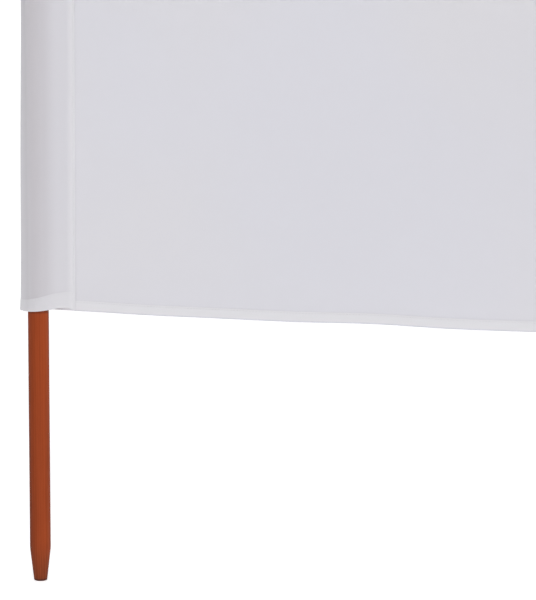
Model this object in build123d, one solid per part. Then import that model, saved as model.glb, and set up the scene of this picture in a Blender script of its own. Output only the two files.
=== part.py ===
from build123d import *

import os
from functools import partial
from math import acos, cos, degrees, radians, sin, sqrt, tan

# Beach windbreak: hemmed bays of thin cloth, set out in a zigzag on round wooden poles. The cloth passes
# behind the poles, and a strip sewn to its front makes a sleeve for each of them. At both ends of the run
# the cloth itself is folded back over the pole and sewn down.
# Millimetres, +Z up. +X follows the run of the bays and -Y is the side that carries the sleeves.
# The origin is the centre of the middle pole's flat foot.

# Layout of the run
BAY_COUNT = 4
BAY_SPACING = 1320.0  # pole axis to pole axis, along the cloth
ZIGZAG_DEGREES = 12.0  # turn of every bay away from the line of the run, one way and then the other

# Heights, from the feet up
STAKE_LENGTH = 367.0  # bare pole below the cloth, most of which goes into the sand
CLOTH_HEIGHT = 800.0
HEAD_REACH = 33.0  # bare pole above the cloth

# Poles: round softwood, tapered to a blunt foot
POLE_RADIUS = 14.0
TAPER_LENGTH = 45.0
FOOT_RADIUS = 8.8  # where the line of the taper meets the foot's flat end
FOOT_ROUND = 1.4
HEAD_ROUND = 3.0

# Cloth
CLOTH_THICKNESS = 0.8
EDGE_SAG = 8.0  # how far both long edges hang at the middle of a bay
HEM_HEIGHT = 14.0
POLE_CLEARANCE = 0.3  # cloth to pole, all round

# Sleeves
END_SEAM_GAP = 34.0  # pole's side to the sewn edge of the folded end
MIDDLE_SEAM_GAP = 22.5  # pole's side to either sewn edge of a middle strip
SEAM_LAP = 6.0  # width that lies flat on the bay under the stitches
MIDDLE_CUFF_HEIGHT = 15.0
FOLD_CUFF_HEIGHT = 13.0  # an end sleeve's cuff at its fold, from where its edge rises to the next height
SEAM_CUFF_HEIGHT = 23.0
FOLD_GAP = 11.5  # pole's side to the outermost line of the folded end
FOLD_RADIUS = 5.5

# Room for cloth that is trimmed to its neighbour
OVERRUN = 50.0

POLE_LENGTH = STAKE_LENGTH + CLOTH_HEIGHT + HEAD_REACH
CLOTH_TOP = STAKE_LENGTH + CLOTH_HEIGHT
FACE_OFFSET = POLE_RADIUS + POLE_CLEARANCE  # pole axis to the nearer face of all cloth round it
FLAT_END = POLE_RADIUS + FOLD_GAP - FOLD_RADIUS  # pole axis to where the end of the cloth starts to fold
UP = Vector(0, 0, 1)
ACROSS = Vector(1, 0, 0)


# Plan of the run

def bay_direction(bay):
    """Unit vector from a bay's first pole to its second."""
    turn = radians(ZIGZAG_DEGREES) * (-1 if bay % 2 == 0 else 1)
    return Vector(cos(turn), sin(turn), 0)


def front_of(along):
    """Unit vector out of the sleeve side of cloth that runs along a direction of increasing X."""
    return along.cross(UP)


def pole_places():
    """Foot centres of all poles, with the middle one at the origin."""
    places = [Vector(0, 0, 0)]
    for bay in range(BAY_COUNT):
        places.append(places[-1] + bay_direction(bay) * BAY_SPACING)
    middle = places[BAY_COUNT // 2]
    return [place - middle for place in places]


# Poles

def make_pole(place):
    """One turned pole: blunt tapered foot, straight shank, eased head."""
    profile = Polyline(
        (0, 0),
        (FOOT_RADIUS, 0),
        (POLE_RADIUS, TAPER_LENGTH),
        (POLE_RADIUS, POLE_LENGTH),
        (0, POLE_LENGTH),
        close=True,
    )
    pole = revolve(make_face(Plane.XZ * profile), Axis.Z)
    rims = pole.edges().filter_by(GeomType.CIRCLE).sort_by(Axis.Z)
    pole = fillet(rims[0], FOOT_ROUND)
    rims = pole.edges().filter_by(GeomType.CIRCLE).sort_by(Axis.Z)
    return Location(place) * fillet(rims[-1], HEAD_ROUND)


# Bays of cloth

def sag_at(distance):
    """Drop of a long edge at a distance from the bay's first pole: one shallow circular arc a bay."""
    half = BAY_SPACING / 2
    arc_radius = (half**2 + EDGE_SAG**2) / (2 * EDGE_SAG)
    return sqrt(arc_radius**2 - (distance - half) ** 2) - (arc_radius - EDGE_SAG)


def edge_arc(start, end, level):
    """A hanging edge between two distances along a bay, in a plane with x along it and y up."""
    return ThreePointArc(*[(x, level - sag_at(x)) for x in (start, (start + end) / 2, end)])


def cloth_band(start, end, low, high):
    """Face of cloth between two levels that both follow the sag."""
    lower = edge_arc(start, end, low)
    upper = edge_arc(start, end, high)
    return make_face([lower, upper, Line(lower @ 0, upper @ 0), Line(lower @ 1, upper @ 1)])


def bay_ends(bay, end_gap, middle_gap):
    """Distances from a bay's first pole to two lines that lie a gap inside the poles at its ends."""
    first = end_gap if bay == 0 else middle_gap
    last = end_gap if bay == BAY_COUNT - 1 else middle_gap
    return first, BAY_SPACING - last


def make_panel(bay, places):
    """One bay of cloth behind its two poles, hems turned to the front, mitred to the bays beside it."""
    along = bay_direction(bay)
    front = front_of(along)
    face = Plane(origin=places[bay] - front * FACE_OFFSET, x_dir=along, z_dir=front)
    mitre = FACE_OFFSET * tan(radians(ZIGZAG_DEGREES)) + OVERRUN
    sheet = cloth_band(*bay_ends(bay, -FLAT_END, -mitre), STAKE_LENGTH, CLOTH_TOP)
    panel = extrude(face * sheet, CLOTH_THICKNESS, dir=-front)
    seams = bay_ends(bay, POLE_RADIUS + END_SEAM_GAP, POLE_RADIUS + MIDDLE_SEAM_GAP)
    for low in (STAKE_LENGTH, CLOTH_TOP - HEM_HEIGHT):
        hem = cloth_band(*seams, low, low + HEM_HEIGHT)
        panel += extrude(face * hem, CLOTH_THICKNESS, dir=front)
    if bay > 0:
        panel = split(panel, Plane(origin=places[bay], z_dir=ACROSS), keep=Keep.TOP)
    if bay < BAY_COUNT - 1:
        panel = split(panel, Plane(origin=places[bay + 1], z_dir=ACROSS), keep=Keep.BOTTOM)
    return panel


# Sleeves: each plan path starts where the strip meets the bay and ends where it touches the pole

def tangent_ways(vector, angle):
    """The two plan unit vectors that lie an angle to either side of a vector."""
    return [vector.normalized().rotate(Axis.Z, degrees(turn)) for turn in (angle, -angle)]


def arc_between(centre, first, last, radius):
    """Arc about a centre from one unit direction to another, the short way round."""
    middle = (first + last).normalized()
    return ThreePointArc(*[centre + way * radius for way in (first, middle, last)])


def sewn_side(along, front, seam, lift):
    """Path of one face of a strip from its sewn edge to the pole, and the direction where it touches.

    along points from the pole into the bay, and lift is the face's height over the strip's underside.
    """
    level = front * (lift - FACE_OFFSET)
    edge = along * seam + level
    lap_end = along * (seam - SEAM_LAP) + level
    radius = FACE_OFFSET + lift
    touch = max(tangent_ways(lap_end, acos(radius / lap_end.length)), key=front.dot)
    return [Line(edge, lap_end), Line(lap_end, touch * radius)], touch


def folded_side(along, front, lift):
    """Path of one face of a strip from the bay's end, round the fold, to the pole, and where it touches."""
    fold_radius = FOLD_RADIUS - CLOTH_THICKNESS + lift
    centre = along * -FLAT_END + front * (FOLD_RADIUS - CLOTH_THICKNESS - FACE_OFFSET)
    radius = FACE_OFFSET + lift
    opening = acos((fold_radius - radius) / centre.length)
    touch = min(tangent_ways(-centre, opening), key=along.dot)
    back_turn = arc_between(centre, -front, -along, fold_radius)
    front_turn = arc_between(centre, -along, touch, fold_radius)
    return [back_turn, front_turn, Line(front_turn @ 1, touch * radius)], touch


def sleeve_sides(pole):
    """Both sides of a pole's sleeve, each as a function of the lift: sewn to a bay, or folded at an end."""
    at_end = pole in (0, BAY_COUNT)
    seam = POLE_RADIUS + (END_SEAM_GAP if at_end else MIDDLE_SEAM_GAP)
    sides = []
    for bay, sign in ((pole - 1, -1), (pole, 1)):
        if 0 <= bay < BAY_COUNT:
            front = front_of(bay_direction(bay))
            along = bay_direction(bay) * sign
            sides.append(partial(sewn_side, along, front, seam))
            if at_end:
                sides.append(partial(folded_side, along, front))
    return sides


def layer_plan(sides, low_lift, high_lift):
    """Plan of one layer of a sleeve between two lifts."""
    edges, ends = [], []
    for lift in (low_lift, high_lift):
        (first, first_touch), (last, last_touch) = (side(lift) for side in sides)
        over_pole = arc_between(Vector(0, 0, 0), first_touch, last_touch, FACE_OFFSET + lift)
        edges += [*first, over_pole, *last]
        ends.append((first[0] @ 0, last[0] @ 0))
    edges += [Line(low, high) for low, high in zip(*ends)]
    return make_face(edges)


def make_cuff(pole, plan):
    """The turned cuff of a sleeve's open lower end, level on a middle sleeve and slanted on an end one."""
    if pole not in (0, BAY_COUNT):
        return extrude(plan, MIDDLE_CUFF_HEIGHT, dir=UP)
    into_bay = bay_direction(0) if pole == 0 else -bay_direction(BAY_COUNT - 1)
    seam = POLE_RADIUS + END_SEAM_GAP
    width = seam + POLE_RADIUS + FOLD_GAP
    slant = UP * width - into_bay * (SEAM_CUFF_HEIGHT - FOLD_CUFF_HEIGHT)
    edge = Plane(origin=into_bay * seam + UP * SEAM_CUFF_HEIGHT, z_dir=slant)
    return split(extrude(plan, SEAM_CUFF_HEIGHT + OVERRUN, dir=UP), edge, keep=Keep.BOTTOM)


def make_sleeve(pole, place):
    """One sleeve: a strip over the front of the pole, with a turned cuff at both of its open ends."""
    sides = sleeve_sides(pole)
    strip = layer_plan(sides, 0, CLOTH_THICKNESS)
    cuff = make_cuff(pole, layer_plan(sides, CLOTH_THICKNESS, 2 * CLOTH_THICKNESS))
    sleeve = extrude(strip, CLOTH_HEIGHT, dir=UP) + cuff
    sleeve += Location(UP * CLOTH_HEIGHT) * mirror(cuff, about=Plane.XY)
    return Location(place + UP * STAKE_LENGTH) * sleeve


def build():
    """All sub-parts by node name, numbered along the run."""
    places = pole_places()
    nodes = {}
    for pole, place in enumerate(places):
        nodes[f"pole_{pole + 1}"] = make_pole(place)
        nodes[f"sleeve_{pole + 1}"] = make_sleeve(pole, place)
    for bay in range(BAY_COUNT):
        nodes[f"panel_{bay + 1}"] = make_panel(bay, places)
    return nodes


os.makedirs("parts", exist_ok=True)
for name, shape in build().items():
    export_step(shape, f"parts/{name}.step")
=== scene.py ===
from math import acos, cos, pi, radians, sin, tan

import bpy
import numpy as np
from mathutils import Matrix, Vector


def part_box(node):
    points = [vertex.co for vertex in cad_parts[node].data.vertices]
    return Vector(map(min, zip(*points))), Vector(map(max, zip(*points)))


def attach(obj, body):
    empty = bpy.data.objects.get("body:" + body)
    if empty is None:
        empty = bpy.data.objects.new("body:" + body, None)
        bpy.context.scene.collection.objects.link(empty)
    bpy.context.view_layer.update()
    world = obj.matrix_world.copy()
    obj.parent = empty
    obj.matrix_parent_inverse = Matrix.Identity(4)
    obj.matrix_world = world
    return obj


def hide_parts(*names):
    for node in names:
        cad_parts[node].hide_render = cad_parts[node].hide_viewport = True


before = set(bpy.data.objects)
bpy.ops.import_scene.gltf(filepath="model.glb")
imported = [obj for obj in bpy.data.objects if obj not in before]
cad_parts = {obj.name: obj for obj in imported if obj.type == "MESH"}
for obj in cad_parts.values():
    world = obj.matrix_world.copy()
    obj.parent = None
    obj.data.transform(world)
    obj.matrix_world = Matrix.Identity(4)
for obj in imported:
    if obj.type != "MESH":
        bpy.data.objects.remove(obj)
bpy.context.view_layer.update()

# Poles
# Round softwood dowels, stained reddish brown and left satin. Each is turned to a blunt cone at the foot,
# so that it can be driven into sand, and its head is eased where the mallet strikes.
POLE_COUNT = sum(name.startswith("pole_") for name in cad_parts)
POLE_BOXES = [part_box(f"pole_{number + 1}") for number in range(POLE_COUNT)]
POLE_PLACES = [np.array(((low + high) / 2)[:2]) for low, high in POLE_BOXES]
POLE_RADIUS = (POLE_BOXES[0][1].x - POLE_BOXES[0][0].x) / 2
POLE_LENGTH = POLE_BOXES[0][1].z
CLOTH_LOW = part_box("sleeve_1")[0].z
CLOTH_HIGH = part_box("sleeve_1")[1].z
SWELL_SCALE = (90, 90, 4)  # scales: waves of the noise for each metre across and along the pole
WOOD_SHARP = radians(40)  # edges that bend more than this stay crisp
STAIN_DARK = (0.205, 0.034, 0.0074, 1)
STAIN_LIGHT = (0.385, 0.065, 0.0145, 1)
END_GRAIN = (0.085, 0.021, 0.010, 1)
END_RINGS = (0.150, 0.036, 0.014, 1)
# The colour of the painted shade on the foot's rim and under the sleeve's lower edge
PAINTED_SHADE = (0.070, 0.022, 0.0135, 1)
PITH_DISTANCE = 0.032  # pole axis to the heart of the tree it was cut from
PITH_TURNS = (205, 342, 120, 257, 35)  # where the heart lies, in degrees from the run's direction; the first puts painted shade on the first pole's left
PLAIN_TONE = 0.38  # tones: shares of the light stain, here before the features below change it
RING_PITCH = 0.0034
RING_STRAY = 0.006  # how far a growth ring strays from its circle
STRAY_SCALE = (25, 25, 1.5)
RING_RANGE = (-0.2, 1.0)  # ranges: where a feature begins to show and where it is whole
RING_TONE = 0.12
RING_RELIEF = 0.15
# The side nearer the heart is darker: heartwood tone, and on the first pole painted shade on its left
HEART_SHADE_RANGE = (0.034, 0.015)
HEART_SHADE_TONE = 0.46
STREAK_SCALE = (170, 170, 2.2)
STREAK_RANGE = (0.25, 0.75)
STREAK_TONE = 0.36
STREAK_RELIEF = 0.5
PORE_SCALE = (1300, 1300, 22)
PORE_RANGE = (0.3, 0.6)
PORE_TONE = 0.2
PORE_RELIEF = 0.35
BLOTCH_SCALE = (30, 30, 9)
BLOTCH_RANGE = (0.3, 0.7)
BLOTCH_TONE = 0.14
END_RANGE = (0.55, 0.9)  # how level a face lies
END_SHARE = 0.8  # shares: how much of the stain a feature hides
# The wood darkens towards the foot, most at the tip
FOOT_DARK_RANGE = (0.065, -0.01)  # height over the ground, as in the next ones
FOOT_DARK_SHARE = 0.55
LOW_DARK_RANGE = (0.34, 0.05)
LOW_DARK_SHARE = 0.12
# Painted shade on the rounded rim of the foot
RIM_SHADE_RANGE = (0.0045, 0.0015)
RIM_SHADE_SHARE = 0.85
# Painted shadow: a band on the pole just under the sleeve's lower edge, where the cuff shades it
SHADE_BAND_LOW = (CLOTH_LOW - 0.0042, CLOTH_LOW - 0.0020)
SHADE_BAND_HIGH = (CLOTH_LOW + 0.02, CLOTH_LOW + 0.01)
SHADE_BAND_SHARE = 0.5
WOOD_BUMP = {"Strength": 0.25, "Distance": 0.0004}
WOOD_ROUGHNESS = 0.62
TONE_POLISH = 0.12  # how much smoother the lightest wood is


class Wire:
    """A socket of a node tree. Arithmetic on wires adds Math nodes, and add() places any other node."""

    def __init__(self, tree, socket=None):
        self.tree = tree
        self.socket = socket

    def add(self, kind, settings=None, inputs=None, output=0):
        """Place a node, with its settings first and then the values or wires of its inputs."""
        node = self.tree.nodes.new(kind)
        for name, value in (settings or {}).items():
            setattr(node, name, value)
        for key, value in (inputs or {}).items():
            if isinstance(value, Wire):
                self.tree.links.new(value.socket, node.inputs[key])
            else:
                node.inputs[key].default_value = value
        return Wire(self.tree, node.outputs[output] if node.outputs else None)

    def math(self, operation, first, second=0.0):
        return self.add("ShaderNodeMath", {"operation": operation}, {0: first, 1: second})

    def __add__(self, other):
        return self.math("ADD", self, other)

    def __sub__(self, other):
        return self.math("SUBTRACT", self, other)

    def __rsub__(self, other):
        return self.math("SUBTRACT", other, self)

    def __mul__(self, other):
        return self.math("MULTIPLY", self, other)

    def __truediv__(self, other):
        return self.math("DIVIDE", self, other)

    def __rtruediv__(self, other):
        return self.math("DIVIDE", other, self)

    __radd__ = __add__
    __rmul__ = __mul__

    def ramp(self, low, high):
        """0 below low, 1 above high and a smooth rise between; low may be the larger."""
        settings = {"interpolation_type": "SMOOTHSTEP"}
        return self.add("ShaderNodeMapRange", settings, {"Value": self, "From Min": low, "From Max": high})

    def mix(self, first, second):
        """Colour between two colours, with this wire as the share of the second."""
        settings = {"data_type": "RGBA", "clamp_factor": False}
        return self.add("ShaderNodeMix", settings, {0: self, 6: first, 7: second}, output=2)

    def noise(self, scale, detail, roughness=0.5, distortion=0.0):
        """Noise on this vector wire, stretched by a scale along each axis, about 0.5."""
        place = self.add("ShaderNodeVectorMath", {"operation": "MULTIPLY"}, {0: self, 1: scale})
        inputs = {"Vector": place, "Scale": 1.0, "Detail": detail, "Roughness": roughness}
        return self.add("ShaderNodeTexNoise", {}, {**inputs, "Distortion": distortion})


def new_material(name):
    """An empty node material, with its shader and a wire to start from."""
    material = bpy.data.materials.new(name)
    material.use_nodes = True
    return material, material.node_tree.nodes["Principled BSDF"], Wire(material.node_tree)


def feed(shader, **inputs):
    """Lead wires, or set plain values, into a shader's inputs, with underscores for blanks."""
    for name, value in inputs.items():
        socket = shader.inputs[name.replace("_", " ")]
        if isinstance(value, Wire):
            value.tree.links.new(value.socket, socket)
        else:
            socket.default_value = value


def stained_wood():
    """Stained softwood: growth rings, streaks and pores along the pole, and end grain full of stain.

    The side nearer to the heart of the tree is darker; on the first pole it lies to the left, where its
    darkness also stands in as painted shade. The wood darkens towards the foot. Painted shade darkens the
    foot's rim and a band just under the sleeve's lower edge.
    """
    material, shader, wire = new_material("stained_wood")
    place = wire.add("ShaderNodeTexCoord", output="Object")
    from_pith = wire.add("ShaderNodeAttribute", {"attribute_name": "from_pith"}, output="Vector")
    height = wire.add("ShaderNodeSeparateXYZ", {}, {0: place}, output="Z")
    facing = wire.add("ShaderNodeNewGeometry", output="Normal")
    upward = wire.add("ShaderNodeSeparateXYZ", {}, {0: facing}, output="Z")
    level = wire.add("ShaderNodeVectorMath", {"operation": "MULTIPLY"}, {0: from_pith, 1: (1, 1, 0)})
    growth = wire.add("ShaderNodeVectorMath", {"operation": "LENGTH"}, {0: level}, output="Value")
    growth = growth + (from_pith.noise(STRAY_SCALE, detail=2) - 0.5) * RING_STRAY
    late_wood = wire.math("SINE", growth * (2 * pi / RING_PITCH)).ramp(*RING_RANGE)
    # Darker side near the heart, which on the first pole is also painted shade on its left
    heart_and_shade = growth.ramp(*HEART_SHADE_RANGE)
    streaks = place.noise(STREAK_SCALE, detail=4, roughness=0.6, distortion=0.5)
    pores = place.noise(PORE_SCALE, detail=2)
    blotches = place.noise(BLOTCH_SCALE, detail=2)
    tone = streaks.ramp(*STREAK_RANGE) * STREAK_TONE + pores.ramp(*PORE_RANGE) * PORE_TONE
    tone = tone + blotches.ramp(*BLOTCH_RANGE) * BLOTCH_TONE
    tone = tone + PLAIN_TONE - heart_and_shade * HEART_SHADE_TONE - late_wood * RING_TONE
    end_face = wire.math("ABSOLUTE", upward).ramp(*END_RANGE)
    # Painted shade on the foot's rounded rim
    foot_rim_shade = height.ramp(*RIM_SHADE_RANGE)
    shade_band = height.ramp(*SHADE_BAND_LOW) * height.ramp(*SHADE_BAND_HIGH)
    darker_low = height.ramp(*FOOT_DARK_RANGE) * FOOT_DARK_SHARE + height.ramp(*LOW_DARK_RANGE) * LOW_DARK_SHARE
    stain = tone.mix(STAIN_DARK, STAIN_LIGHT)
    end_and_low = wire.math("MAXIMUM", end_face * END_SHARE, darker_low)
    colour = end_and_low.mix(stain, late_wood.mix(END_RINGS, END_GRAIN))
    # Painted shade on the foot's rim and in the band under the sleeve's edge
    painted_shade_share = wire.math("MAXIMUM", foot_rim_shade * RIM_SHADE_SHARE, shade_band * SHADE_BAND_SHARE)
    colour = painted_shade_share.mix(colour, PAINTED_SHADE)
    relief = streaks * STREAK_RELIEF + pores * PORE_RELIEF - late_wood * RING_RELIEF
    bump = wire.add("ShaderNodeBump", {}, {**WOOD_BUMP, "Height": relief}, output="Normal")
    roughness = WOOD_ROUGHNESS - tone * TONE_POLISH
    feed(shader, Base_Color=colour, Roughness=roughness, Normal=bump, Specular_IOR_Level=0.1)
    return material


def new_tree(name, inputs):
    """A geometry tree with one named input for each given value, and a function that reaches them."""
    kinds = {int: "NodeSocketInt", float: "NodeSocketFloat", tuple: "NodeSocketVector"}
    tree = bpy.data.node_groups.new(name, "GeometryNodeTree")
    tree.interface.new_socket("Geometry", in_out="INPUT", socket_type="NodeSocketGeometry")
    for title, value in inputs.items():
        kind = kinds.get(type(value), "NodeSocketMaterial")
        tree.interface.new_socket(title, in_out="INPUT", socket_type=kind)
    tree.interface.new_socket("Geometry", in_out="OUTPUT", socket_type="NodeSocketGeometry")

    def given(title):
        return Wire(tree).add("NodeGroupInput", output=title)

    return tree, given


def turned_pole():
    """Geometry nodes for one pole: a line with a radius for every height, swept by a circle and closed."""
    tree, given = new_tree("turned_pole", POLE_SIZES)
    wire = Wire(tree)
    line = wire.add("GeometryNodeMeshLine", {"mode": "OFFSET"}, {
        "Count": given("Rings"), "Offset": (0, 0, 0)})
    share = wire.add("GeometryNodeInputIndex") / (given("Rings") - 1)
    height = (1 - wire.math("COSINE", share * pi)) * 0.5 * given("Length")
    place = wire.add("ShaderNodeCombineXYZ", {}, {"Z": height})
    line = wire.add("GeometryNodeSetPosition", {}, {"Geometry": line, "Position": place})
    line = wire.add("GeometryNodeMeshToCurve", {}, {"Mesh": line})
    height = wire.add("ShaderNodeSeparateXYZ", {}, {0: wire.add("GeometryNodeInputPosition")}, output="Z")
    slope = (given("Radius") - given("Foot radius")) / given("Taper length")
    radius = wire.math("MINIMUM", given("Foot radius") + height * slope, given("Radius"))
    for rise, rounding in ((height, given("Foot round")), (given("Length") - height, given("Head round"))):
        depth = wire.math("MAXIMUM", 1 - rise / rounding, 0)
        radius = radius - rounding * (1 - wire.math("SQRT", 1 - depth * depth))
    circle = wire.add("GeometryNodeCurvePrimitiveCircle", {}, {
        "Resolution": given("Sides"), "Radius": 1.0})
    pole = wire.add("GeometryNodeCurveToMesh", {}, {
        "Curve": line, "Profile Curve": circle, "Scale": radius, "Fill Caps": True})
    grain = wire.add("GeometryNodeInputPosition").noise(SWELL_SCALE, detail=1)
    outward = wire.add("GeometryNodeInputNormal")
    sideways = wire.add("ShaderNodeVectorMath", {"operation": "MULTIPLY"}, {0: outward, 1: (1, 1, 0)})
    swell = (grain - 0.5) * given("Uneven")
    swell = wire.add("ShaderNodeVectorMath", {"operation": "SCALE"}, {0: sideways, "Scale": swell})
    pole = wire.add("GeometryNodeSetPosition", {}, {"Geometry": pole, "Offset": swell})
    from_pith = wire.add("ShaderNodeVectorMath", {"operation": "SUBTRACT"}, {
        0: wire.add("GeometryNodeInputPosition"), 1: given("Pith")})
    pole = wire.add("GeometryNodeStoreNamedAttribute", {"data_type": "FLOAT_VECTOR", "domain": "POINT"}, {
        "Geometry": pole, "Name": "from_pith", "Value": from_pith})
    pole = wire.add("GeometryNodeTransform", {}, {"Geometry": pole, "Translation": given("Foot")})
    pole = wire.add("GeometryNodeSetShadeSmooth", {}, {"Geometry": pole})
    pole = wire.add("GeometryNodeRealizeInstances", {}, {"Geometry": pole})
    pole = wire.add("GeometryNodeSetMaterial", {}, {"Geometry": pole, "Material": given("Wood")})
    wire.add("NodeGroupOutput", {}, {0: pole})
    return tree


def plain_mesh(piece):
    """Turn what a piece's modifiers make of it into its own mesh."""
    finished = bpy.data.meshes.new_from_object(piece.evaluated_get(bpy.context.evaluated_depsgraph_get()))
    piece.modifiers.clear()
    piece.data = finished
    finished.name = piece.name
    return piece


def grow(name, tree, values, mesh=None):
    """A plain mesh piece that a geometry tree makes from given values, and from a mesh if it needs one."""
    piece = bpy.data.objects.new(name, mesh or bpy.data.meshes.new(name))
    bpy.context.collection.objects.link(piece)
    modifier = piece.modifiers.new(tree.name, "NODES")
    modifier.node_group = tree
    for socket in tree.interface.items_tree:
        if socket.in_out == "INPUT" and socket.name in values:
            modifier[socket.identifier] = values[socket.name]
    return plain_mesh(piece)


POLE_SIZES = {
    "Length": POLE_LENGTH,
    "Radius": POLE_RADIUS,
    "Taper length": 0.045,
    "Foot radius": 0.0088,
    "Foot round": 0.0016,
    "Head round": 0.003,
    "Uneven": 0.0004,
    "Sides": 72,
    "Rings": 150,
    "Foot": (0.0, 0.0, 0.0),
    "Pith": (PITH_DISTANCE, 0.0, 0.0),
    "Wood": stained_wood(),
}
POLE_TREE = turned_pole()
for number, foot in enumerate(POLE_PLACES):
    turn = radians(PITH_TURNS[number % len(PITH_TURNS)])
    pith = (PITH_DISTANCE * cos(turn), PITH_DISTANCE * sin(turn), 0.0)
    own = {"Foot": (*foot.tolist(), 0.0), "Pith": pith}
    pole = grow(f"wood_pole_{number + 1}", POLE_TREE, {**POLE_SIZES, **own})
    pole.data.set_sharp_from_angle(angle=WOOD_SHARP)
    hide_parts(f"pole_{number + 1}")
    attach(pole, "root")

# Bays of cloth
# Plain-woven off-white polyester, about as thin as a bed sheet. Each bay hangs behind its two poles, and
# its two long edges are turned to the front and sewn down as hems.
CLOTH = 0.00035  # thickness
CLEARANCE = 0.0003  # cloth to pole
FACE = POLE_RADIUS + CLEARANCE  # pole axis to the cloth's nearer face
DEPTH = FACE + CLOTH / 2  # pole axis to the middle of the cloth
HEM = 0.014
HEM_ROLL = 0.0010  # hem layer to bay cloth at the rolled edge
HEM_PRESSED = 0.0004  # hem layer to bay cloth under the stitches
HEM_SWELL = 1.5  # power with which a hem swells from its stitches to its roll
HEM_OPENING = 0.004  # length beside a seam over which a hem opens to its full roll
VALLEY_BEND = 0.04  # radius of the bend where the cloth lies off the back of a forward pole
FOLD_RADIUS = 0.0055
FOLD_REACH = 0.0250  # pole axis to the outermost line of the folded end, at the level below
FOLD_LEVEL = 0.55
FOLD_FLARE = 0.0095  # how much further the fold reaches for each metre down
END_SEAM = 0.0480  # pole axis to the sewn edge of a folded end
MIDDLE_SEAM = 0.0365  # pole axis to either sewn edge of a middle sleeve
EDGE_SAG = 0.008
# Ripples of a long edge: height, place of a crest, length, and how much longer they are in each next bay
EDGE_RIPPLES = ((0.0012, 0.44, 0.36, 0.05), (0.0004, 0.269, 0.18, 0.03))
# Dips of a long edge: depth, distance from the seam, and reach
EDGE_DIPS = ((0.0014, 0.08, 0.065), (0.0006, 0.0, 0.03))
BELLY = 0.007  # how far the slack middle of a bay hangs back
# Soft folds of a bay: height, waves across it and up it, and their share of the shift from bay to bay
SOFT_FOLDS = ((0.0016, 2.2, 0.5, 1.0), (0.0012, 1.1, -1.4, 2.3))
BAY_SHIFT = 1.7  # shift of all waves from one bay to the next, in radians
HOLD = 1.5  # power with which the poles hold the cloth flat
PUCKER = 0.00010
SEAM_PUCKERS = (167, 271)  # waves of the puckers, in radians for each metre
SEAM_PUCKER_REACH = 0.035
HEM_PUCKERS = (131, 197)
HEM_PUCKER_REACH = 0.03
COLUMN_STEP = 0.006
ROW_STEP = 0.008
HEM_ROWS = 7
HEM_CORE = 0.97  # share of a hem up to which the cloth behind it shows as doubled
ROLL_ROWS = 5
BEND_COLUMNS = 7
CLOTH_SHARP = radians(50)  # edges that bend more than this stay crisp
ROLL_SHADE = -0.8  # tone of the rolled edge, where 1 is doubled cloth and 0 single: painted shade, as the roll lies in its own shade
WEAVE_PITCH = 0.0007
WEAVE_RELIEF = 0.5
SLUB_SCALES = ((60, 900, 1), (900, 60, 1))  # waves of the noise for each metre across and up the cloth
SLUB_RELIEF = 0.5
SLUB_ROUGHNESS = 0.04
MOTTLE_SCALE = (2.5, 2.5, 2.5)
MOTTLE_RANGE = (0.3, 0.7)
CLOTH_COLOUR = (0.711, 0.701, 0.735, 1)
CLOTH_COOL = (0.704, 0.700, 0.752, 1)
CLOTH_DOUBLE = (0.757, 0.751, 0.782, 1)
# Cloth over a pole: mostly painted shade, with a faint tint of the pole seen through it
CLOTH_TINT_AND_SHADE = (0.566, 0.545, 0.576, 1)
CLOTH_BUMP = {"Strength": 0.16, "Distance": 0.0003}
CLOTH_ROUGHNESS = 0.85


def fold_reach(height):
    """Pole axis to the outermost line of a folded end: it flares towards the open lower end."""
    return FOLD_REACH + FOLD_FLARE * (FOLD_LEVEL - height)


def near(distance, reach):
    """1 at no distance, fading smoothly to nothing beyond a reach."""
    return np.exp(-(np.asarray(distance) / reach) ** 2)


def pucker_wave(place, waves, shift):
    """Two waves of unlike length along a sewn line."""
    return np.sin(place * waves[0] + shift) + np.sin(place * waves[1] + 2 * shift)


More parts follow.
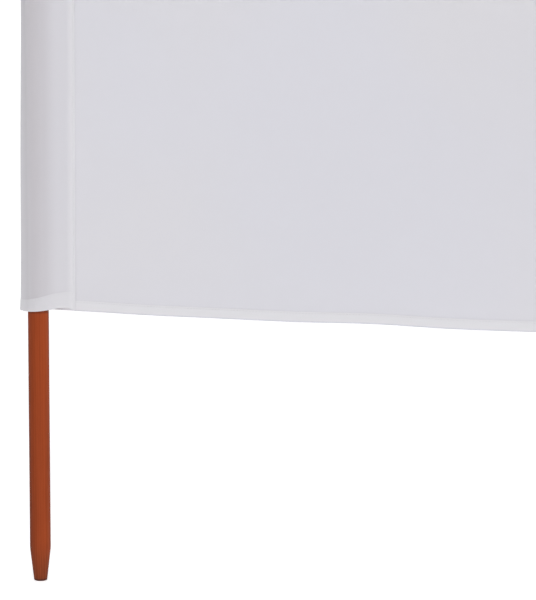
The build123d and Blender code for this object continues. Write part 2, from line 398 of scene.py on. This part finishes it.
class Bay:
    """One bay's frame: along from its first pole to its second, out of the cloth's front, and up."""

    def __init__(self, number):
        self.number = number
        self.start = POLE_PLACES[number]
        step = POLE_PLACES[number + 1] - self.start
        self.span = float(np.hypot(*step))
        self.along = step / self.span
        self.front = np.array([self.along[1], -self.along[0]])
        self.angle = abs(float(np.arctan2(step[1], step[0])))
        at_ends = [pole in (0, POLE_COUNT - 1) for pole in (number, number + 1)]
        self.first_end, self.last_end = at_ends
        self.seams = [END_SEAM if at_end else MIDDLE_SEAM for at_end in at_ends]
        self.columns, self.out, self.lean = self.plan_line()

    def end_line(self, pole):
        """Distance in from a pole, offset and lean of the cloth's middle, from straight run to end."""
        if pole in (0, POLE_COUNT - 1):
            inward = -np.linspace(0, FOLD_REACH - FOLD_RADIUS, BEND_COLUMNS)
            return inward, np.full(BEND_COLUMNS, -DEPTH), np.zeros(BEND_COLUMNS)
        turn = np.linspace(0, self.angle, BEND_COLUMNS)
        if pole % 2 == 1:
            inward = (DEPTH + VALLEY_BEND) * tan(self.angle) - VALLEY_BEND * np.sin(turn)
            return inward, -DEPTH - VALLEY_BEND * (1 - np.cos(turn)), -turn
        return -DEPTH * np.sin(turn), -DEPTH * np.cos(turn), turn

    def plan_line(self):
        """Columns of the cloth from its first end to its last: place along the bay, offset and lean."""
        start, start_out, start_lean = self.end_line(self.number)
        end, end_out, end_lean = self.end_line(self.number + 1)
        count = round((self.span - start[0] - end[0]) / COLUMN_STEP)
        middle = np.linspace(start[0], self.span - end[0], count)[1:-1]
        columns = np.concatenate([start[::-1], middle, self.span - end])
        out = np.concatenate([start_out[::-1], np.full(len(middle), -DEPTH), end_out])
        lean = np.concatenate([start_lean[::-1], np.zeros(len(middle)), -end_lean])
        return columns, out, lean

    def edge(self, along, level):
        """Height of a long edge: it sags between the poles, dips beside its seams and ripples."""
        share = np.clip(along / self.span, 0, 1)
        ripple = 0
        for height, crest, length, gain in EDGE_RIPPLES:
            ripple = ripple + height * np.cos(2 * pi * (along - crest) / (length + gain * self.number))
        dips = 0
        for from_seam in (along - self.seams[0], self.span - along - self.seams[1]):
            for depth, place, reach in EDGE_DIPS:
                dips = dips + depth * near(from_seam - place, reach)
        return level - EDGE_SAG * 4 * share * (1 - share) + np.sin(pi * share) * ripple - dips

    def billow(self, along, height):
        """How far the cloth stands off its plane: slack middle, soft folds, puckers at what is sewn."""
        across = np.clip(along / self.span, 0, 1)
        up = np.clip((height - CLOTH_LOW) / (CLOTH_HIGH - CLOTH_LOW), 0, 1)
        loose = np.sin(pi * across) ** HOLD
        shift = BAY_SHIFT * self.number
        off = -BELLY * loose * np.sin(pi * up)
        for rise, across_waves, up_waves, part in SOFT_FOLDS:
            turn = 2 * pi * (across_waves * across + up_waves * up) + part * shift
            off = off + rise * loose * np.sin(turn)
        to_seam = np.minimum(abs(along - self.seams[0]), abs(self.span - along - self.seams[1]))
        to_hem = np.minimum(height - CLOTH_LOW, CLOTH_HIGH - height) - HEM
        at_seam = near(to_seam, SEAM_PUCKER_REACH) * pucker_wave(height, SEAM_PUCKERS, shift)
        at_hem = near(to_hem, HEM_PUCKER_REACH) * pucker_wave(along, HEM_PUCKERS, shift) * loose
        return off + PUCKER * (at_seam + at_hem)

    def points(self, along, heights, stand_off):
        """Points of the cloth at equal arrays of places along it, heights and stand-offs."""
        out = np.interp(along, self.columns, self.out)
        lean = np.interp(along, self.columns, self.lean)
        flare = (fold_reach(heights) - FOLD_RADIUS) / (FOLD_REACH - FOLD_RADIUS)
        flared = along
        if self.first_end:
            flared = np.where(along < 0, along * flare, flared)
        if self.last_end:
            flared = np.where(along > self.span, self.span + (along - self.span) * flare, flared)
        lift = stand_off + self.billow(along, heights)
        right = flared + lift * np.sin(lean)
        forward = out + lift * np.cos(lean)
        plan = self.start + right[..., None] * self.along + forward[..., None] * self.front
        return np.concatenate([plan, heights[..., None]], -1)


def turned_edge(depth):
    """Rows of a turned edge from sewn line to roll: rise of each column over the edge, and stand-off."""
    rows = []
    for share in np.linspace(0, 1, HEM_ROWS):
        rise = depth + (HEM_ROLL / 2 - depth) * share
        rows.append((rise, HEM_PRESSED + (HEM_ROLL - HEM_PRESSED) * share**HEM_SWELL))
    for turn in np.linspace(0, pi, ROLL_ROWS)[1:-1]:
        rows.append((HEM_ROLL / 2 * (1 - sin(turn)) + 0 * depth, HEM_ROLL / 2 * (1 + cos(turn))))
    return rows


def cloth_rows(low, high, low_depth, high_depth):
    """Heights, stand-offs and doubling of all rows of a cloth whose long edges are turned to its front."""
    rows = [(low + rise, off, 1) for rise, off in turned_edge(low_depth)]
    inside = np.append(np.linspace(0, 1, HEM_ROWS)[:-1], HEM_CORE)
    for share in inside:
        rows.append((low + HEM_ROLL / 2 + (low_depth - HEM_ROLL / 2) * share, 0, 1))
    first, last = low + low_depth, high - high_depth
    for share in np.linspace(0, 1, round((CLOTH_HIGH - CLOTH_LOW) / ROW_STEP)):
        rows.append((first + (last - first) * share, 0, 0))
    for share in inside[::-1]:
        rows.append((high - HEM_ROLL / 2 - (high_depth - HEM_ROLL / 2) * share, 0, 1))
    rows += [(high - rise, off, 1) for rise, off in turned_edge(high_depth)[::-1]]
    heights = np.array([row[0] for row in rows])
    stand_off = np.array([np.full(heights.shape[1], row[1]) for row in rows])
    doubled = np.array([np.full(heights.shape[1], float(row[2])) for row in rows])
    return heights, stand_off, doubled


def flat_places(points):
    """Flat cloth coordinates of a grid of points, in metres along its columns and its rows."""
    across = np.linalg.norm(np.diff(points, axis=1), axis=2).mean(0)
    upward = np.linalg.norm(np.diff(points, axis=0), axis=2).mean(1)
    across = np.concatenate([[0], np.cumsum(across)])
    upward = np.concatenate([[0], np.cumsum(upward)])
    return np.stack(np.broadcast_arrays(across[None, :], upward[:, None]), -1)


def cloth_piece(name, points, marks):
    """A cloth piece from a grid of points, rows going up and columns to the right, seen from its face.

    Marks are values of every point for the material. The sheet gets its thickness here.
    """
    rows, columns = points.shape[:2]
    index = np.arange(rows * columns).reshape(rows, columns)
    corners = [index[:-1, :-1], index[:-1, 1:], index[1:, 1:], index[1:, :-1]]
    faces = np.stack(corners, -1).reshape(-1, 4)
    mesh = bpy.data.meshes.new(name)
    mesh.from_pydata(points.reshape(-1, 3).tolist(), [], faces.tolist())
    flat = flat_places(points)
    layout = mesh.uv_layers.new(name="flat_cloth")
    layout.data.foreach_set("uv", flat.reshape(-1, 2)[faces.reshape(-1)].astype(np.float32).ravel())
    for mark, values in marks.items():
        attribute = mesh.attributes.new(mark, "FLOAT", "POINT")
        attribute.data.foreach_set("value", np.ascontiguousarray(values, dtype=np.float32).ravel())
    mesh.shade_smooth()
    piece = bpy.data.objects.new(name, mesh)
    bpy.context.collection.objects.link(piece)
    thickness = piece.modifiers.new("cloth_thickness", "SOLIDIFY")
    thickness.thickness = CLOTH
    thickness.offset = 0
    plain_mesh(piece)
    piece.data.set_sharp_from_angle(angle=CLOTH_SHARP)
    return piece, tuple(float(size) for size in flat[-1, -1])


def woven_cloth():
    """Plain weave, faintly uneven. Doubled cloth is whiter, the pole shows through a little, and rolled
    edges and sleeves over the poles get painted shade.
    """
    material, shader, wire = new_material("woven_cloth")
    flat = wire.add("ShaderNodeUVMap", {"uv_map": "flat_cloth"})
    place = wire.add("ShaderNodeTexCoord", output="Object")
    across = wire.add("ShaderNodeSeparateXYZ", {}, {0: flat}, output="X")
    up = wire.add("ShaderNodeSeparateXYZ", {}, {0: flat}, output="Y")
    layers_and_shade = wire.add("ShaderNodeAttribute", {"attribute_name": "layers_and_roll_shade"}, output="Fac")
    on_pole = wire.add("ShaderNodeAttribute", {"attribute_name": "on_pole"}, output="Fac")
    warp = wire.math("SINE", across * (2 * pi / WEAVE_PITCH))
    weft = wire.math("SINE", up * (2 * pi / WEAVE_PITCH))
    warp_slubs, weft_slubs = [flat.noise(scale, detail=2) for scale in SLUB_SCALES]
    slubs = warp_slubs + weft_slubs
    mottle = place.noise(MOTTLE_SCALE, detail=2)
    colour = mottle.ramp(*MOTTLE_RANGE).mix(CLOTH_COLOUR, CLOTH_COOL)
    colour = layers_and_shade.mix(colour, CLOTH_DOUBLE)
    # Painted shade over the poles and the hollows beside them, with the pole's faint tint
    colour = on_pole.mix(colour, CLOTH_TINT_AND_SHADE)
    relief = warp * weft * WEAVE_RELIEF + slubs * SLUB_RELIEF
    bump = wire.add("ShaderNodeBump", {}, {**CLOTH_BUMP, "Height": relief}, output="Normal")
    roughness = CLOTH_ROUGHNESS + slubs * SLUB_ROUGHNESS
    feed(shader, Base_Color=colour, Roughness=roughness, Normal=bump, Specular_IOR_Level=0.15)
    return material


def make_bay(bay):
    """One bay: a single sheet from the sewn line of its lower hem to that of its upper hem."""
    depth = np.full(len(bay.columns), HEM)
    low, high = (bay.edge(bay.columns, level) for level in (CLOTH_LOW, CLOTH_HIGH))
    heights, stand_off, doubled = cloth_rows(low, high, depth, depth)
    along = np.broadcast_to(bay.columns, heights.shape)
    from_pole = np.minimum(along, bay.span - along)
    at_first = along < bay.span / 2
    open_hem = np.clip((from_pole - np.where(at_first, *bay.seams)) / HEM_OPENING + 0.5, 0, 1)
    pressed = np.minimum(stand_off, CLOTH)
    points = bay.points(along, heights, pressed + (stand_off - pressed) * open_hem)
    # Painted shade on the rolled edges, darker than single cloth
    rolled = np.minimum(heights - low, high - heights) < HEM_ROLL
    layers_and_shade = np.where(rolled, ROLL_SHADE, doubled)
    marks = {"layers_and_roll_shade": layers_and_shade, "on_pole": 0 * layers_and_shade}
    return cloth_piece(f"bay_cloth_{bay.number + 1}", points, marks)


WOVEN = woven_cloth()
BAYS = [Bay(number) for number in range(POLE_COUNT - 1)]
for bay in BAYS:
    cloth, flat_size = make_bay(bay)
    cloth.data.materials.append(WOVEN)
    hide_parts(f"panel_{bay.number + 1}")
    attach(cloth, "root")

# Sleeves
# Strips of the same cloth over the fronts of the poles. The end ones are the cloth's own end, folded back
# and sewn down; the middle ones are sewn along both edges. Their open ends are turned and sewn as cuffs.
SEAM_LEAN = 0.004  # how much nearer the end seam comes for each metre down
LAP = 0.0034
LAP_LIFT = 0.0004  # middle of the strip over the bay's front face
LAP_PUFF = 0.0003  # how far the sewn lap swells between its edges
RISE_BEND = 0.014  # radius of the bend in which the strip leaves the bay
LAP_COLUMNS = 6
RISE_COLUMNS = 8
FLAP_COLUMNS = 12
WRAP_COLUMNS = 18
STRIP_COLUMNS = 10
FOLD_COLUMNS = 6
SLACK = 0.0003  # how far the strip stands off its shortest way where it is loose
SLACK_ROOM = 0.006  # gap to the pole at which it is fully loose
SLACK_WAVES = 21  # waves of the slack along the pole, in radians for each metre
SLACK_SLANT = 9  # and from edge to edge of the strip, in radians
TINT_SHADE_GAP = 0.014  # gap to the pole at which its tint and the painted shade are lost
TINT_SHADE_FADE = 2  # power with which it is lost
HOLLOW_SHADE = 0.18  # share of that tint and painted shade over the dark hollow beside the pole
SIDE_TURN = radians(41)  # turn away from the front at which the next two fades are whole
SIDE_FADE = 0.27  # how much less of that tint and painted shade there is where the strip turns off the pole towards a seam
FOLD_FADE = 0.50  # and towards the fold, where light gets in behind the cloth
CUFF_HIDES = 0.5  # share of the pole's tint and painted shade that a cuff's second layer hides
LAP_HIDES = 0.7  # and that is lost where the strip is sewn to the bay
# Lower edge against the level of the cloth, and cuff, at shares of the way from the seam to the other side
END_SHARES = (0.00, 0.055, 0.13, 0.245, 0.32, 0.47, 0.68, 0.80, 0.88, 0.95, 1.00)
END_EDGE = (-0.0004, 0.0005, 0.0027, 0.0029, 0.0014, 0.0005, -0.0012, -0.0022, -0.0019, 0.0, 0.0003)
END_CUFF = (0.0243, 0.0232, 0.0210, 0.0203, 0.0212, 0.0190, 0.0163, 0.0155, 0.0150, 0.0130, 0.0125)
MIDDLE_SHARES = (0.00, 0.06, 0.22, 0.40, 0.50, 0.60, 0.78, 0.94, 1.00)
MIDDLE_EDGE = (-0.0003, 0.0003, 0.0018, 0.0004, 0.0, 0.0004, 0.0018, 0.0003, -0.0003)
MIDDLE_CUFF = (0.0160, 0.0160, 0.0145, 0.0150, 0.0152, 0.0150, 0.0145, 0.0160, 0.0160)
UPPER_SHARE = 0.5  # share of the lower edge's waviness that the upper edge has


def tangent_way(vector, angle, toward):
    """Of the two unit vectors at an angle to a vector, the one that leans toward a direction."""
    base = np.arctan2(vector[1], vector[0])
    ways = [np.array([cos(base + turn), sin(base + turn)]) for turn in (angle, -angle)]
    return max(ways, key=toward.dot)


def straight(start, end, count):
    """Points from start up to but not at end."""
    return start + (end - start) * np.linspace(0, 1, count, endpoint=False)[:, None]


def arc(centre, first, last, radius, count):
    """Points of an arc from one unit direction up to but not at another, the short way round."""
    start = np.arctan2(first[1], first[0])
    sweep = (np.arctan2(last[1], last[0]) - start + pi) % (2 * pi) - pi
    turns = start + sweep * np.linspace(0, 1, count, endpoint=False)
    return centre + radius * np.stack([np.cos(turns), np.sin(turns)], 1)


def sewn_side(along, front, seam):
    """Plan points of a strip from its sewn edge to the pole, and the direction where it touches the pole.

    From the flat lap the strip rises in a hollow bend, then runs straight to the pole.
    """
    level = front * (LAP_LIFT - FACE)
    lap_end = along * (seam - LAP) + level
    centre = lap_end + front * RISE_BEND
    touch = tangent_way(centre, acos((DEPTH + RISE_BEND) / np.hypot(*centre)), front)
    lap = straight(along * seam + level, lap_end, LAP_COLUMNS)
    lap += np.multiply.outer(np.sin(np.linspace(0, pi, LAP_COLUMNS, endpoint=False)), front * LAP_PUFF)
    bend = arc(centre, -front, -touch, RISE_BEND, RISE_COLUMNS)
    flap = straight(centre - touch * RISE_BEND, touch * DEPTH, FLAP_COLUMNS)
    return np.concatenate([lap, bend, flap]), touch


def folded_side(along, front, reach):
    """Plan points from the bay's end round the fold to the pole, and the direction where they touch it."""
    centre = along * (FOLD_RADIUS - reach) + front * (FOLD_RADIUS - DEPTH)
    touch = tangent_way(-centre, acos((FOLD_RADIUS - DEPTH) / np.hypot(*centre)), -along)
    back = arc(centre, -front, -along, FOLD_RADIUS, FOLD_COLUMNS)
    side = arc(centre, -along, touch, FOLD_RADIUS, FOLD_COLUMNS)
    strip = straight(centre + touch * FOLD_RADIUS, touch * DEPTH, STRIP_COLUMNS)
    return np.concatenate([back, side, strip]), touch


def outward_of(plan):
    """Unit normals of a line of plan points, out of the face that looks away from the pole."""
    tangent = np.gradient(plan, axis=0)
    tangent /= np.hypot(*tangent.T)[:, None]
    return np.stack([-tangent[:, 1], tangent[:, 0]], 1)


class Sleeve:
    """One sleeve's frame: columns from its right edge to its left one, seen from the front, and up."""

    def __init__(self, pole):
        self.pole = pole
        self.at_end = pole in (0, POLE_COUNT - 1)
        plan = self.plan(FOLD_LEVEL)
        run = np.concatenate([[0], np.cumsum(np.hypot(*np.diff(plan, axis=0).T))])
        share = self.share = run / run[-1]
        self.seams = []
        fade = np.concatenate([np.ones(LAP_COLUMNS), np.linspace(1, 0, RISE_COLUMNS)])
        fade = np.concatenate([fade, np.zeros(len(plan) - len(fade))])
        if pole != POLE_COUNT - 1:
            bay = BAYS[pole]
            self.seams.append((bay, bay.seams[0], fade))
        else:
            share = 1 - share
        if pole != 0:
            bay = BAYS[pole - 1]
            self.seams.append((bay, bay.span - bay.seams[1], fade[::-1]))
        self.sewn = sum(fade for bay, along, fade in self.seams)
        self.folded = np.zeros(len(plan))
        if pole == 0:
            self.folded[-2 * FOLD_COLUMNS - STRIP_COLUMNS:] = 1
        if pole == POLE_COUNT - 1:
            self.folded[:2 * FOLD_COLUMNS + STRIP_COLUMNS] = 1
        self.turn, self.toward_fold = self.facing(plan)
        shares = END_SHARES if self.at_end else MIDDLE_SHARES
        self.edge = np.interp(share, shares, END_EDGE if self.at_end else MIDDLE_EDGE)
        self.cuff = np.interp(share, shares, END_CUFF if self.at_end else MIDDLE_CUFF)

    def facing(self, plan):
        """How far each column turns from the front, up to 1, and whether it turns to the fold."""
        fronts = [BAYS[number].front for number in (self.pole - 1, self.pole) if 0 <= number < len(BAYS)]
        front = np.mean(fronts, 0) / np.hypot(*np.mean(fronts, 0))
        outward = outward_of(plan)
        turn = np.clip((1 - outward @ front) / (1 - cos(SIDE_TURN)), 0, 1)
        leftward = outward @ np.array([front[1], -front[0]]) > 0
        return turn, self.at_end & (leftward if self.pole == 0 else ~leftward)

    def plan(self, height):
        """Plan points about the pole's axis at one height."""
        sides = []
        for number, sign in ((self.pole, 1), (self.pole - 1, -1)):
            if not 0 <= number < POLE_COUNT - 1:
                continue
            bay = BAYS[number]
            seam = END_SEAM + SEAM_LEAN * (height - FOLD_LEVEL) if self.at_end else MIDDLE_SEAM
            sides.append(sewn_side(bay.along * sign, bay.front, seam))
            if self.at_end:
                sides.append(folded_side(bay.along * sign, bay.front, fold_reach(height)))
        if self.pole == POLE_COUNT - 1:
            sides.reverse()
        (right, right_touch), (left, left_touch) = sides
        over = arc(np.zeros(2), right_touch, left_touch, DEPTH, WRAP_COLUMNS)
        return np.concatenate([right, over, [left_touch * DEPTH], left[::-1]])

    def points(self, heights, stand_off):
        """Points of the strip in rows of heights and stand-offs, and how far they lie off the pole."""
        points = np.empty(heights.shape + (3,))
        gap = np.empty(heights.shape)
        for row, level in enumerate(heights.mean(1)):
            plan = self.plan(float(level))
            outward = outward_of(plan)
            gap[row] = np.hypot(*plan.T) - DEPTH
            for bay, along, fade in self.seams:
                plan = plan + np.multiply.outer(fade * bay.billow(along, level), bay.front)
            drape = 1 + np.sin(SLACK_WAVES * level + SLACK_SLANT * self.share + self.pole)
            slack = SLACK * drape * np.clip(gap[row] / SLACK_ROOM, 0, 1) * (1 - self.sewn)
            plan = plan + outward * slack[:, None]
            points[row, :, :2] = POLE_PLACES[self.pole] + plan + outward * stand_off[row, :, None]
        points[..., 2] = heights
        return points, gap


def make_sleeve(sleeve):
    """One sleeve: a single strip with a cuff turned to the outside at its lower and upper end."""
    low, high = CLOTH_LOW + sleeve.edge, CLOTH_HIGH - UPPER_SHARE * sleeve.edge
    heights, stand_off, doubled = cloth_rows(low, high, sleeve.cuff, sleeve.cuff)
    points, gap = sleeve.points(heights, stand_off)
    # The pole's tint through the cloth and painted shade, on the pole and over the hollow beside it
    touching = np.clip(1 - gap / TINT_SHADE_GAP, 0, 1) ** TINT_SHADE_FADE
    hollow = (1 - touching) * (1 - sleeve.folded)
    fade = np.where(sleeve.toward_fold, FOLD_FADE, SIDE_FADE) * sleeve.turn
    on_pole = touching * (1 - fade) * (1 - CUFF_HIDES * doubled) + hollow * HOLLOW_SHADE
    on_pole *= 1 - LAP_HIDES * sleeve.sewn
    layers_and_shade = np.maximum(doubled, sleeve.sewn)
    marks = {"layers_and_roll_shade": layers_and_shade[:, ::-1], "on_pole": on_pole[:, ::-1]}
    return cloth_piece(f"sleeve_cloth_{sleeve.pole + 1}", points[:, ::-1], marks)


SLEEVES = [Sleeve(pole) for pole in range(POLE_COUNT)]
for sleeve in SLEEVES:
    cloth, flat_size = make_sleeve(sleeve)
    cloth.data.materials.append(WOVEN)
    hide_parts(f"sleeve_{sleeve.pole + 1}")
    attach(cloth, "root")

# Stitches
# Rows of white polyester thread that hold the hems and the seams, on both faces of the cloth, and the
# cuffs, on the outside. Each stitch is pulled a little way into the cloth.
THREAD_RADIUS = 0.00026
STITCH_INSET = 0.0022  # from a sewn edge
STITCH_SINK = 0.4  # share of the thread's radius that lies in the cloth
STITCH_RISE = CLOTH / 2 + THREAD_RADIUS * (1 - STITCH_SINK)  # middle of the cloth to that of a stitch
LINE_STEP = 0.006
TWIST_SCALE = (1500, 1500, 1500)
TWIST_RANGE = (0.7, 0.3)
TWIST_ROUGHNESS = 0.2
THREAD_COLOUR = (0.76, 0.76, 0.78, 1)
THREAD_SHADE = (0.66, 0.66, 0.69, 1)
THREAD_ROUGHNESS = 0.6


def sewing_thread():
    """Spun polyester thread, a little uneven along its length."""
    material, shader, wire = new_material("sewing_thread")
    place = wire.add("ShaderNodeTexCoord", output="Object")
    twist = place.noise(TWIST_SCALE, detail=1)
    colour = twist.ramp(*TWIST_RANGE).mix(THREAD_COLOUR, THREAD_SHADE)
    roughness = THREAD_ROUGHNESS + twist * TWIST_ROUGHNESS
    feed(shader, Base_Color=colour, Roughness=roughness, Specular_IOR_Level=0.3)
    return material


def stitch_rows():
    """Geometry nodes that set stitches along the edges of a mesh, each a slim bead along its line."""
    tree, given = new_tree("stitch_rows", STITCH_SIZES)
    wire = Wire(tree)
    lines = wire.add("GeometryNodeMeshToCurve", {}, {"Mesh": given("Geometry")})
    spots = wire.add("GeometryNodeResampleCurve", {"mode": "LENGTH"}, {
        "Curve": lines, "Length": given("Pitch")})
    along = wire.add("GeometryNodeInputTangent")
    turned = wire.add("FunctionNodeAlignRotationToVector", {"axis": "Z"}, {"Vector": along})
    bead = wire.add("GeometryNodeMeshUVSphere", {}, {
        "Segments": given("Sides"), "Rings": given("Rings"), "Radius": given("Thread radius")})
    slim = wire.add("ShaderNodeCombineXYZ", {}, {
        "X": 1.0, "Y": 1.0, "Z": given("Length") * 0.5 / given("Thread radius")})
    stitch = wire.add("GeometryNodeTransform", {}, {"Geometry": bead, "Scale": slim})
    uneven = wire.add("FunctionNodeRandomValue", {"data_type": "FLOAT"}, {
        2: given("Smallest"), 3: given("Largest"), "Seed": given("Seed")}, output=1)
    rows = wire.add("GeometryNodeInstanceOnPoints", {}, {
        "Points": spots, "Instance": stitch, "Rotation": turned, "Scale": uneven})
    rows = wire.add("GeometryNodeRealizeInstances", {}, {"Geometry": rows})
    rows = wire.add("GeometryNodeSetShadeSmooth", {}, {"Geometry": rows})
    rows = wire.add("GeometryNodeSetMaterial", {}, {"Geometry": rows, "Material": given("Thread")})
    wire.add("NodeGroupOutput", {}, {0: rows})
    return tree


def hem_stitches(bay):
    """Lines of a bay's hem stitches on its front and on its back."""
    along = np.arange(bay.seams[0] + STITCH_INSET, bay.span - bay.seams[1], LINE_STEP)
    for level, inward in ((CLOTH_LOW, 1), (CLOTH_HIGH, -1)):
        heights = bay.edge(along, level) + inward * (HEM - STITCH_INSET)
        for stand_off in (HEM_PRESSED + STITCH_RISE, -STITCH_RISE):
            yield bay.points(along, heights, np.full(len(along), stand_off))


def sleeve_stitches(sleeve):
    """Lines of a sleeve's seam stitches, on its laps and behind them, and of its cuff stitches."""
    column = round(STITCH_INSET / LAP * LAP_COLUMNS)
    levels = np.arange(CLOTH_LOW + STITCH_INSET, CLOTH_HIGH - STITCH_INSET, LINE_STEP)
    heights = np.repeat(levels[:, None], len(sleeve.sewn), 1)
    double = (levels < CLOTH_LOW + sleeve.cuff[column]) | (levels > CLOTH_HIGH - sleeve.cuff[column])
    off = np.where(double, HEM_PRESSED, 0)[:, None] + np.full(heights.shape, STITCH_RISE)
    over_lap = sleeve.points(heights, off)[0]
    for index, bay in ((column, sleeve.pole), (-1 - column, sleeve.pole - 1)):
        if sleeve.sewn[index]:
            yield over_lap[:, index]
            lap_swell = LAP_LIFT + CLOTH / 2 + LAP_PUFF * sin(pi * column / LAP_COLUMNS)
            behind = over_lap[:, index].copy()
            behind[:, :2] -= np.multiply.outer(lap_swell + STITCH_RISE + off[:, 0], BAYS[bay].front)
            yield behind
    inset = STITCH_INSET * np.ones(len(sleeve.sewn))
    low = CLOTH_LOW + sleeve.edge + sleeve.cuff - inset
    high = CLOTH_HIGH - UPPER_SHARE * sleeve.edge - sleeve.cuff + inset
    for heights in (low, high):
        yield sleeve.points(heights[None], np.full((1, len(inset)), HEM_PRESSED + STITCH_RISE))[0][0]


def line_mesh(lines):
    """A mesh of bare edges along lists of points."""
    starts = np.cumsum([0] + [len(line) for line in lines])
    edges = [(n, n + 1) for first, last in zip(starts, starts[1:]) for n in range(first, last - 1)]
    mesh = bpy.data.meshes.new("stitch_lines")
    mesh.from_pydata(np.concatenate(lines).tolist(), edges, [])
    return mesh


STITCH_SIZES = {
    "Pitch": 0.0042,
    "Length": 0.0036,
    "Thread radius": THREAD_RADIUS,
    "Smallest": 0.86,
    "Largest": 1.06,
    "Sides": 5,
    "Rings": 3,
    "Seed": 7,
    "Thread": sewing_thread(),
}
STITCH_LINES = [line for bay in BAYS for line in hem_stitches(bay)]
STITCH_LINES += [line for sleeve in SLEEVES for line in sleeve_stitches(sleeve)]
stitches = grow("stitches", stitch_rows(), STITCH_SIZES, line_mesh(STITCH_LINES))
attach(stitches, "root")

# Studio
# A pale floor of softly glowing paper that rises far off, one soft light from the camera's side, a weaker
# one from above and a weak one from behind. The camera stands where the photograph was taken.
FLOOR_RADIUS = 185.0
FLOOR_SIDES = 96
WALL_LEAN = 15.0
WALL_HEIGHT = 25.0
FLOOR_COLOUR = (0.92, 0.92, 0.92, 1)
FLOOR_GLOW = 0.68
WHITE = (1, 1, 1, 1)
ROOM_GLOW = 0.01
VIEW_AZIMUTH = 1.487
VIEW_ELEVATION = 8.078
VIEW_DISTANCE = 5.0
VIEW_CENTRE = (0.3058, 0.0, 0.3813)  # from the foot of the first pole
VIEW_LENS = 225.8

turns = np.arange(FLOOR_SIDES) * 2 * pi / FLOOR_SIDES
circle = np.column_stack([np.cos(turns), np.sin(turns), 0 * turns])
rim = circle * (FLOOR_RADIUS + WALL_LEAN) + np.array([0, 0, WALL_HEIGHT])
corners = np.concatenate([circle * FLOOR_RADIUS, rim])
walls = [(n, n - 1, FLOOR_SIDES + n - 1, FLOOR_SIDES + n) for n in range(1, FLOOR_SIDES)]
walls.append((0, FLOOR_SIDES - 1, 2 * FLOOR_SIDES - 1, FLOOR_SIDES))
floor_mesh = bpy.data.meshes.new("studio_floor")
floor_mesh.from_pydata(corners.tolist(), [], [list(range(FLOOR_SIDES)), *walls])
floor = bpy.data.objects.new("studio_floor", floor_mesh)
bpy.context.collection.objects.link(floor)
paper, shader, _ = new_material("floor_paper")
feed(shader, Base_Color=FLOOR_COLOUR, Roughness=0.9, Specular_IOR_Level=0.0)
feed(shader, Emission_Color=WHITE, Emission_Strength=FLOOR_GLOW)
floor.data.materials.append(paper)


def toward(azimuth, elevation):
    """Unit vector toward a direction in degrees, with azimuth 0 on the front side and 90 on the right."""
    turn, rise = radians(azimuth), radians(elevation)
    return Vector((sin(turn) * cos(rise), -cos(turn) * cos(rise), sin(rise)))


def softbox(name, azimuth, elevation, strength, spread):
    """A soft distant light from a direction, with its spread in degrees."""
    data = bpy.data.lights.new(name, "SUN")
    data.energy = strength
    data.angle = radians(spread)
    light = bpy.data.objects.new(name, data)
    light.rotation_euler = toward(azimuth, elevation).to_track_quat("Z", "Y").to_euler()
    bpy.context.collection.objects.link(light)


softbox("front_softbox", azimuth=4, elevation=30, strength=1.15, spread=50)
softbox("overhead_softbox", azimuth=0, elevation=90, strength=0.65, spread=40)
softbox("back_softbox", azimuth=165, elevation=30, strength=0.35, spread=80)

world = bpy.data.worlds.new("studio")
world.use_nodes = True
world.node_tree.nodes["Background"].inputs["Color"].default_value = WHITE
world.node_tree.nodes["Background"].inputs["Strength"].default_value = ROOM_GLOW
scene = bpy.context.scene
scene.world = world
scene.view_settings.view_transform = "Standard"

camera_data = bpy.data.cameras.new("photo_camera")
camera_data.lens = VIEW_LENS
camera_data.clip_end = 3 * FLOOR_RADIUS
camera = bpy.data.objects.new("photo_camera", camera_data)
backward = toward(VIEW_AZIMUTH, VIEW_ELEVATION)
first_foot = Vector((*POLE_PLACES[0], 0))
camera.location = first_foot + Vector(VIEW_CENTRE) + backward * VIEW_DISTANCE
camera.rotation_euler = backward.to_track_quat("Z", "Y").to_euler()
bpy.context.collection.objects.link(camera)
scene.camera = camera
